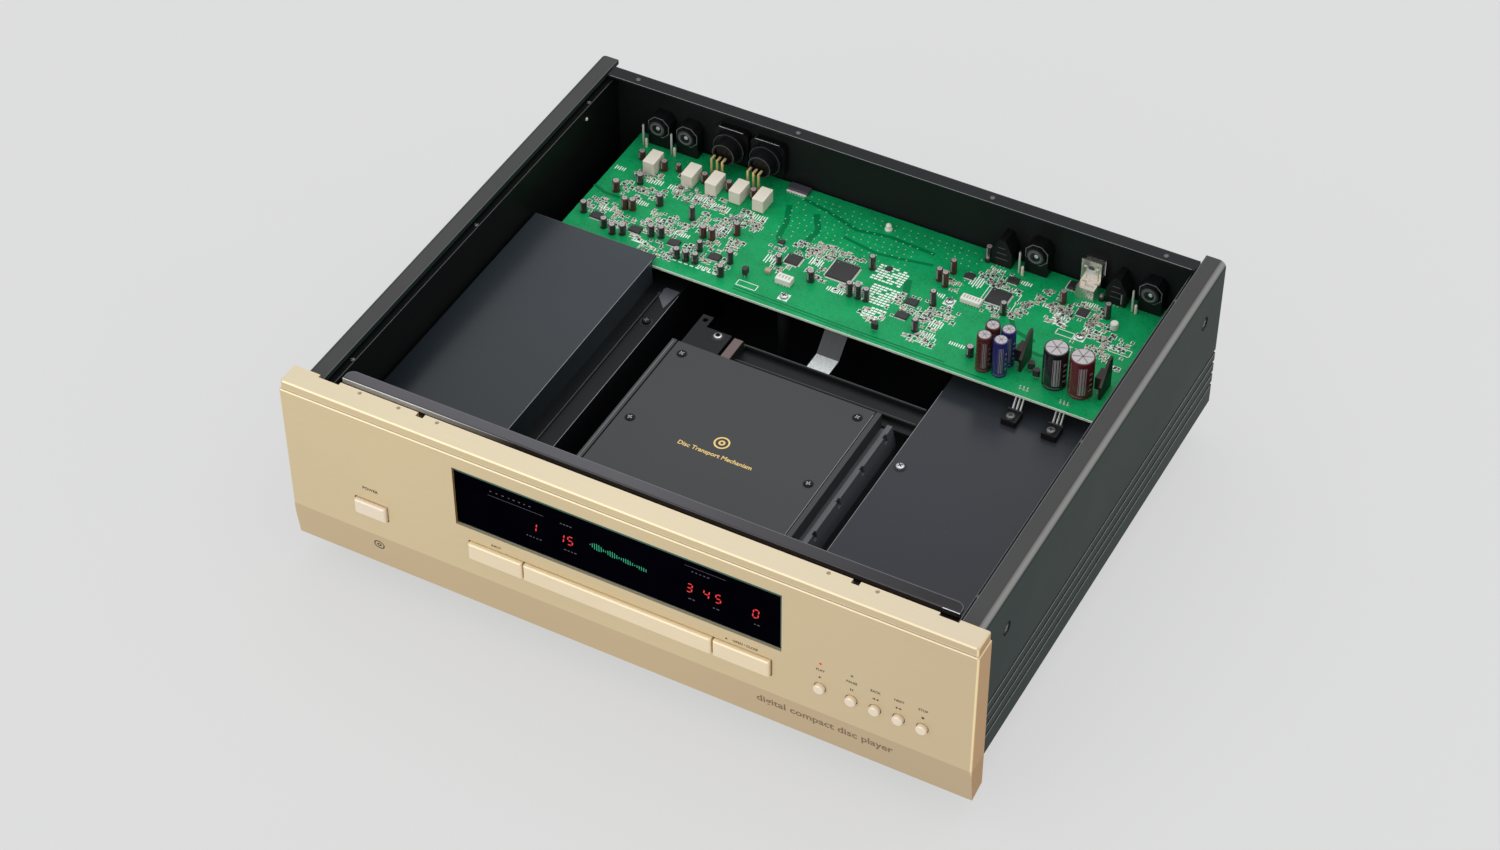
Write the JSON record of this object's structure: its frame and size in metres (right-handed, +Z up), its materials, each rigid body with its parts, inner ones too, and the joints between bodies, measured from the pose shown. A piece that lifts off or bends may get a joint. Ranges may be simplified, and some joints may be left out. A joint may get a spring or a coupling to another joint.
{
  "type": "compact disc player",
  "caption": "Front-loading compact disc player with a thick gold faceplate, shown with its top cover off over the disc mechanism and boards.",
  "frame": {"origin": "under the middle of the player's overall box, at the underside of the feet", "axes": "+X to the player's right seen from the front, +Y to its back (the faceplate faces -Y), +Z up"},
  "size_m": [0.465, 0.393, 0.149],
  "materials": {
    "champagne": "fine brushed, anodised champagne",
    "champagne_key": "satin, anodised, a little paler than the panel",
    "dark_glass": "dark tinted, glossy",
    "bronze_panel": "satin grey-bronze",
    "plated_steel": "satin dark plated steel",
    "bay_steel": "satin dark plated steel, slightly blue",
    "mech_paint": "fine textured dark grey",
    "iron": "turned and blackened",
    "screw_steel": "zinc plated",
    "ground_steel": "ground and polished",
    "tray_plastic": "fine grain black",
    "gear_plastic": "natural acetal",
    "clamp_plastic": "black",
    "belt_rubber": "matte",
    "board_green": "solder mask over glass fibre",
    "board_plain": "solder mask over glass fibre",
    "socket_plastic": "black moulding",
    "socket_metal": "plated",
    "relay_plastic": "cream moulding",
    "can_sleeve": "shrunk sleeve",
    "sink_metal": "anodised dark brown",
    "transformer_paint": "black potting case",
    "ribbon_film": "clear film over bright strips",
    "motor_metal": "bright can"
  },
  "bodies": {
    "case": {"front_panel": "champagne", "display_window": "dark_glass", "front_boards": "board_plain", "front_subplate": "plated_steel", "power_switch": "socket_plastic", "left_side_panel": "bronze_panel", "right_side_panel": "bronze_panel", "left_inner_wall": "plated_steel", "right_inner_wall": "plated_steel", "bottom_plate": "plated_steel", "rear_panel": "plated_steel", "left_bay_cover": "bay_steel", "left_divider": "bay_steel", "right_bay_cover": "bay_steel", "case_screws": "screw_steel", "mech_base": "mech_paint", "mech_top_plate": "mech_paint", "mech_side_rails": "mech_paint", "mech_crossbar": "plated_steel", "clamp_bridge": "plated_steel", "loading_motor": "motor_metal", "loading_belt": "belt_rubber", "main_board": "board_green", "rca_sockets": "socket_plastic", "xlr_sockets": "socket_metal", "optical_sockets": "socket_plastic", "usb_socket": "socket_metal", "relays": "relay_plastic", "capacitors": "can_sleeve", "heat_sinks": "sink_metal", "power_transistors": "socket_plastic", "power_transformer": "transformer_paint", "supply_board": "board_plain", "flat_cable": "ribbon_film", "mains_inlet": "socket_plastic", "foot_front_left": "iron", "foot_front_right": "iron", "foot_rear_left": "iron", "foot_rear_right": "iron"},
    "tray": {"disc_tray": "tray_plastic", "tray_front": "champagne_key"},
    "drive_gear_body": {"drive_gear": "gear_plastic"},
    "belt_gear_body": {"belt_gear": "gear_plastic"},
    "motor_pulley_body": {"motor_pulley": "gear_plastic"},
    "traverse": {"traverse_frame": "plated_steel", "spindle_motor": "motor_metal", "guide_rods": "ground_steel", "sled_motor": "motor_metal"},
    "turntable_body": {"turntable": "clamp_plastic"},
    "clamp": {"clamp_puck": "clamp_plastic"},
    "sled": {"pickup_sled": "clamp_plastic"},
    "screw": {"lead_screw": "ground_steel"},
    "power_key": {"power_button": "champagne_key"},
    "left_key": {"left_bar_button": "champagne_key"},
    "open_key": {"open_button": "champagne_key"},
    "play_key": {"play_button": "champagne_key"},
    "pause_key": {"pause_button": "champagne_key"},
    "back_key": {"back_button": "champagne_key"},
    "next_key": {"next_button": "champagne_key"},
    "stop_key": {"stop_button": "champagne_key"}
  },
  "joints": [
    {"name": "tray_slide", "type": "slide", "parent": "case", "child": "tray", "axis": [0, -1, 0], "range_m": [0, 0.14]},
    {"name": "drive_gear_spin", "type": "hinge", "parent": "case", "child": "drive_gear_body", "pos_m": [0.042, -0.158, 0.06], "axis": [0, 0, 1], "range_deg": [-1010, 5]},
    {"name": "belt_gear_spin", "type": "hinge", "parent": "case", "child": "belt_gear_body", "pos_m": [0.0228, -0.158, 0.05], "axis": [0, 0, 1], "range_deg": [-10, 3020]},
    {"name": "motor_pulley_spin", "type": "hinge", "parent": "case", "child": "motor_pulley_body", "pos_m": [-0.014, -0.158, 0.046], "axis": [0, 0, 1], "range_deg": [-20, 7800]},
    {"name": "traverse_tilt", "type": "hinge", "parent": "case", "child": "traverse", "pos_m": [0, -0.026, 0.05], "axis": [1, 0, 0], "range_deg": [0, 5]},
    {"name": "turntable_spin", "type": "hinge", "parent": "traverse", "child": "turntable_body", "pos_m": [0, -0.118, 0.06], "axis": [0, 0, 1], "continuous": true},
    {"name": "clamp_spin", "type": "hinge", "parent": "case", "child": "clamp", "pos_m": [0, -0.118, 0.078], "axis": [0, 0, 1], "continuous": true},
    {"name": "sled_slide", "type": "slide", "parent": "traverse", "child": "sled", "axis": [0, 1, 0], "range_m": [0, 0.034]},
    {"name": "lead_screw_spin", "type": "hinge", "parent": "traverse", "child": "screw", "pos_m": [-0.028, -0.07, 0.057], "axis": [0, 1, 0], "range_deg": [-10, 4100]},
    {"name": "power_press", "type": "slide", "parent": "case", "child": "power_key", "axis": [0, 1, 0], "range_m": [0, 0.002], "stiffness_N_per_m": 500, "springref_m": -0.0006},
    {"name": "left_key_press", "type": "slide", "parent": "case", "child": "left_key", "axis": [0, 1, 0], "range_m": [0, 0.001], "stiffness_N_per_m": 500, "springref_m": -0.0006},
    {"name": "open_press", "type": "slide", "parent": "case", "child": "open_key", "axis": [0, 1, 0], "range_m": [0, 0.001], "stiffness_N_per_m": 500, "springref_m": -0.0006},
    {"name": "play_press", "type": "slide", "parent": "case", "child": "play_key", "axis": [0, 1, 0], "range_m": [0, 0.001], "stiffness_N_per_m": 500, "springref_m": -0.0006},
    {"name": "pause_press", "type": "slide", "parent": "case", "child": "pause_key", "axis": [0, 1, 0], "range_m": [0, 0.001], "stiffness_N_per_m": 500, "springref_m": -0.0006},
    {"name": "back_press", "type": "slide", "parent": "case", "child": "back_key", "axis": [0, 1, 0], "range_m": [0, 0.001], "stiffness_N_per_m": 500, "springref_m": -0.0006},
    {"name": "next_press", "type": "slide", "parent": "case", "child": "next_key", "axis": [0, 1, 0], "range_m": [0, 0.001], "stiffness_N_per_m": 500, "springref_m": -0.0006},
    {"name": "stop_press", "type": "slide", "parent": "case", "child": "stop_key", "axis": [0, 1, 0], "range_m": [0, 0.001], "stiffness_N_per_m": 500, "springref_m": -0.0006}
  ],
  "couplings": [
    {"joint": "drive_gear_spin", "follows": "tray_slide", "rad_per_m": -125},
    {"joint": "belt_gear_spin", "follows": "tray_slide", "rad_per_m": 375},
    {"joint": "motor_pulley_spin", "follows": "tray_slide", "rad_per_m": 968.75},
    {"joint": "clamp_spin", "follows": "turntable_spin", "ratio": 1},
    {"joint": "lead_screw_spin", "follows": "sled_slide", "rad_per_m": 2094.4}
  ]
}
